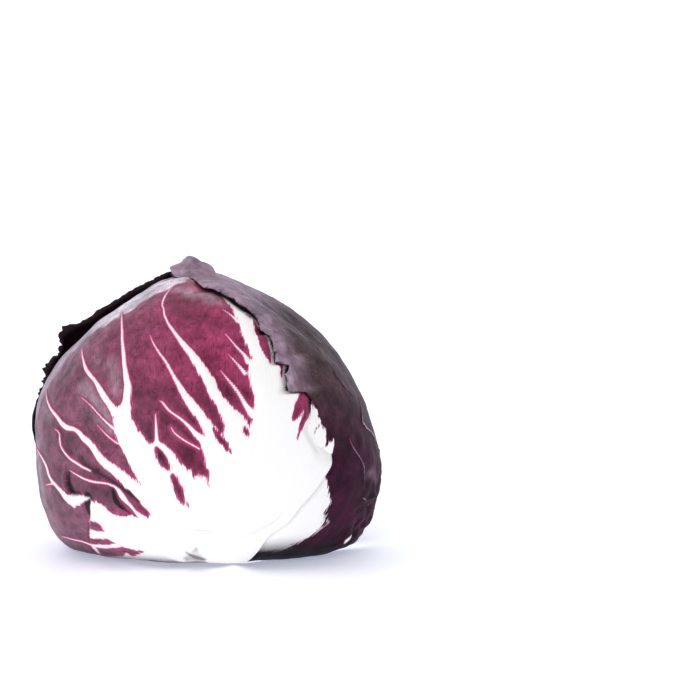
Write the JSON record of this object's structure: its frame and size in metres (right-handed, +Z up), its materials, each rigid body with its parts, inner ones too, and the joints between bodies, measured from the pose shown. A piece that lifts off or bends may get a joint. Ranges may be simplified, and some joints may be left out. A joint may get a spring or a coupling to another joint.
{
  "type": "radicchio head",
  "caption": "Round head of red radicchio lying on its side: wrapped purple leaves with broad white branching ribs round a dense heart and a short cut stem.",
  "frame": {"origin": "on the table, in the flat spot on the underside that the head lies on", "axes": "+Z up, -Y the front, where the front leaf's white base and fan of ribs face; the stem points down and a little to the front"},
  "size_m": [0.1315, 0.1185, 0.1084],
  "materials": {
    "cut_stem": "matt, dry cut face of plant core, browned at its rim",
    "inner_leaf": "satin, pale crisp leaf with purple edges",
    "purple_leaf": "satin waxy leaf, red-purple between white ribs",
    "dark_leaf": "satin waxy leaf, dark purple with a grey bloom"
  },
  "bodies": {
    "root": {"stem": "cut_stem", "heart": "inner_leaf", "under_leaf_left": "inner_leaf", "under_leaf_right": "inner_leaf", "under_leaf_back": "inner_leaf", "front_leaf": "purple_leaf", "right_leaf": "dark_leaf", "back_leaf": "dark_leaf"}
  },
  "joints": []
}
